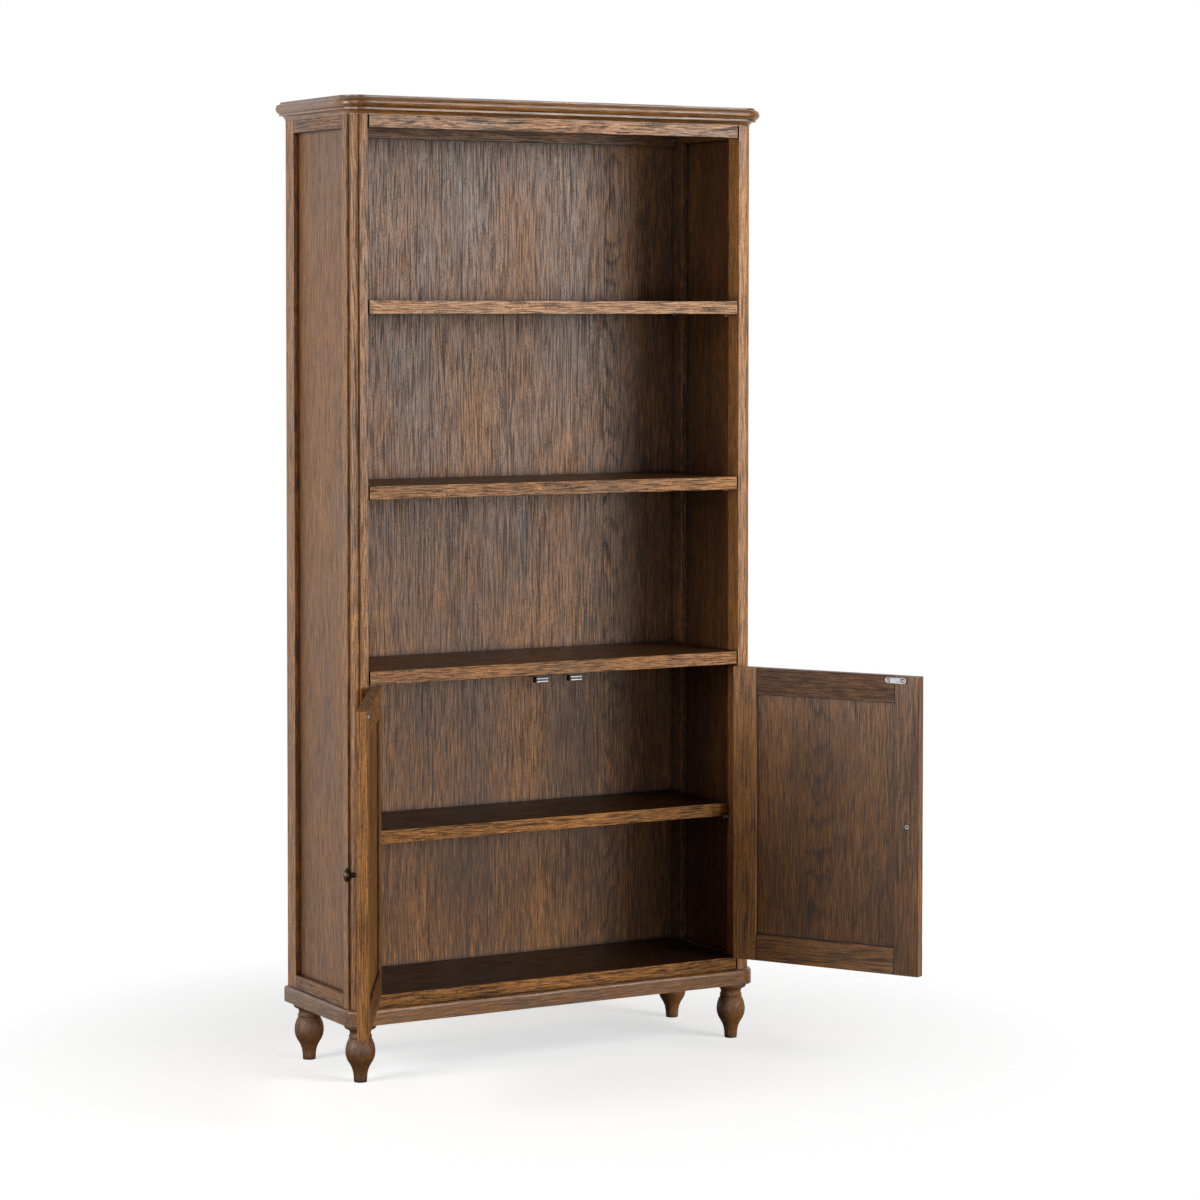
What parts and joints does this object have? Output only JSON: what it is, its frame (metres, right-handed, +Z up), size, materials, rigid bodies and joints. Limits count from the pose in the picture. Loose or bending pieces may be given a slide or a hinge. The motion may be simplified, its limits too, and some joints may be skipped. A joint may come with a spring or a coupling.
{
  "type": "bookcase",
  "caption": "Tall brown oak bookcase on turned feet, with open bays over a cupboard, panelled sides, beaded posts and a rounded moulded top; both framed doors stand open.",
  "frame": {"origin": "on the floor, under the middle of the carcass", "axes": "+Z up, -Y out of the front, +X to the right as seen from the front"},
  "size_m": [1.2216, 0.6485, 1.829],
  "materials": {
    "oak_carcass": "brown stained oak, satin, open grain",
    "oak_shelves": "brown stained oak, satin, open grain",
    "oak_doors": "brown stained oak, satin, open grain",
    "oak_turned": "brown stained oak, turned",
    "oak_back": "oak-faced panel, brown stain",
    "antique_bronze": "dark antique bronze",
    "zinc_steel": "zinc plated",
    "catch_plastic": "dark brown"
  },
  "bodies": {
    "carcass": {"back_bottom_rail": "oak_carcass", "back_panel": "oak_back", "back_top_rail": "oak_carcass", "bottom_board": "oak_shelves", "carcass_screws": "zinc_steel", "catch_bodies": "catch_plastic", "catch_poles": "zinc_steel", "ceiling_board": "oak_carcass", "corner_blocks": "oak_carcass", "cornice_front": "oak_carcass", "cornice_left": "oak_carcass", "cornice_right": "oak_carcass", "foot_bolts": "zinc_steel", "front_left_foot": "oak_turned", "front_right_foot": "oak_turned", "hinge_frame_leaves": "antique_bronze", "left_front_post": "oak_carcass", "left_rear_batten": "oak_carcass", "left_rear_stile": "oak_carcass", "left_side_bottom_rail": "oak_carcass", "left_side_panel": "oak_carcass", "left_side_top_rail": "oak_carcass", "plinth_back": "oak_carcass", "plinth_front": "oak_carcass", "plinth_left": "oak_carcass", "plinth_right": "oak_carcass", "rear_left_foot": "oak_turned", "rear_right_foot": "oak_turned", "right_front_post": "oak_carcass", "right_rear_batten": "oak_carcass", "right_rear_stile": "oak_carcass", "right_side_bottom_rail": "oak_carcass", "right_side_panel": "oak_carcass", "right_side_top_rail": "oak_carcass", "shelf_1": "oak_shelves", "shelf_2": "oak_shelves", "shelf_3": "oak_shelves", "shelf_4": "oak_shelves", "shelf_pins": "zinc_steel", "top_board": "oak_carcass", "top_rail": "oak_carcass", "upper_rear_batten": "oak_carcass"},
    "left_door": {"left_door_bottom_rail": "oak_doors", "left_door_free_stile": "oak_doors", "left_door_hinge_stile": "oak_doors", "left_door_panel": "oak_doors", "left_door_screws": "zinc_steel", "left_door_top_rail": "oak_doors", "left_hinge_door_leaves": "antique_bronze", "left_knob": "antique_bronze", "left_strike_plate": "zinc_steel"},
    "right_door": {"right_door_bottom_rail": "oak_doors", "right_door_free_stile": "oak_doors", "right_door_hinge_stile": "oak_doors", "right_door_panel": "oak_doors", "right_door_screws": "zinc_steel", "right_door_top_rail": "oak_doors", "right_hinge_door_leaves": "antique_bronze", "right_knob": "antique_bronze", "right_strike_plate": "zinc_steel"}
  },
  "joints": [
    {"name": "left_door_hinge", "type": "hinge", "parent": "carcass", "child": "left_door", "pos_m": [-0.3999, -0.146, 0.4531], "axis": [0, 0, -1], "range_deg": [-119.3, 45.7]},
    {"name": "right_door_hinge", "type": "hinge", "parent": "carcass", "child": "right_door", "pos_m": [0.3999, -0.146, 0.4531], "axis": [0, 0, 1], "range_deg": [-120.5, 44.5]}
  ]
}
